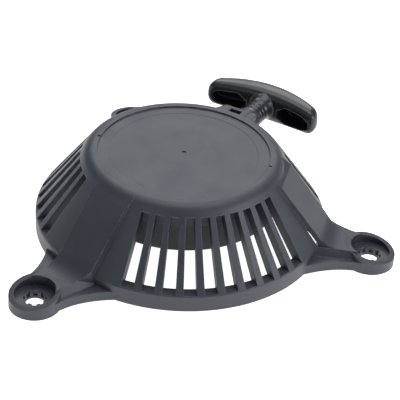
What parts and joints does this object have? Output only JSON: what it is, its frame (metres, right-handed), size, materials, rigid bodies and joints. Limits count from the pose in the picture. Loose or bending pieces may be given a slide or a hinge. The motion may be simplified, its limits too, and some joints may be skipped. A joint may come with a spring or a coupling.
{
  "type": "recoil starter",
  "caption": "Pull-rope recoil starter: slotted dome housing with three mounting ears, spring-loaded rope reel, pawls, friction-driven plate and T-handle.",
  "frame": {"origin": "on the reel axis, in the plane of the three mounting feet", "axes": "+Z along the reel axis away from the engine, +X along the direction in which the rope is pulled"},
  "size_m": [0.2428, 0.2187, 0.052],
  "materials": {
    "housing_plastic": "fine-grained moulded black nylon",
    "reel_plastic": "moulded black acetal",
    "grip_plastic": "smooth moulded black plastic",
    "rope_braid": "braided nylon cord",
    "spring_steel": "blued spring steel strip, oiled",
    "zinc_steel": "zinc plated",
    "pawl_steel": "sintered steel",
    "bush_steel": "polished hard bush",
    "insert_brass": "turned brass"
  },
  "bodies": {
    "housing": {"housing": "housing_plastic", "post_insert": "insert_brass", "guide_bush": "bush_steel", "spring_keeper": "zinc_steel", "mainspring": "spring_steel", "rope_inner_run": "rope_braid", "brake_washer": "zinc_steel", "brake_spring": "spring_steel", "screw_washer": "zinc_steel", "centre_screw": "zinc_steel"},
    "handle": {"grip": "grip_plastic", "grip_washer": "zinc_steel", "rope_outer_run": "rope_braid", "rope_grip_knot": "rope_braid"},
    "reel": {"reel": "reel_plastic", "rope_winding": "rope_braid", "rope_reel_knot": "rope_braid", "pawl_spring_1": "spring_steel", "pawl_spring_2": "spring_steel"},
    "drive_plate": {"drive_plate": "reel_plastic"},
    "pawl_1": {"pawl_1": "pawl_steel"},
    "pawl_2": {"pawl_2": "pawl_steel"}
  },
  "joints": [
    {"name": "rope_pull", "type": "slide", "parent": "housing", "child": "handle", "axis": [1, 0, 0], "range_m": [0, 0.9], "stiffness_N_per_m": 25, "springref_m": -0.5},
    {"name": "reel_spin", "type": "hinge", "parent": "housing", "child": "reel", "pos_m": [0, 0, 0.0305], "axis": [0, 0, 1], "range_deg": [-1320, 0], "deforming": ["mainspring", "rope_winding"]},
    {"name": "plate_lag", "type": "hinge", "parent": "reel", "child": "drive_plate", "pos_m": [0, 0, 0.0171], "axis": [0, 0, 1], "range_deg": [0, 30], "stiffness_Nm_per_rad": 0.02, "springref_deg": -17.19},
    {"name": "pawl_1_swing", "type": "hinge", "parent": "reel", "child": "pawl_1", "pos_m": [0.024, 0, 0.0209], "axis": [0, 0, 1], "range_deg": [0, 32]},
    {"name": "pawl_2_swing", "type": "hinge", "parent": "reel", "child": "pawl_2", "pos_m": [-0.024, 0, 0.0209], "axis": [0, 0, 1], "range_deg": [0, 32]}
  ],
  "couplings": [
    {"joint": "reel_spin", "follows": "rope_pull", "rad_per_m": -25.5},
    {"joint": "pawl_1_swing", "follows": "plate_lag", "ratio": 1},
    {"joint": "pawl_2_swing", "follows": "plate_lag", "ratio": 1}
  ]
}
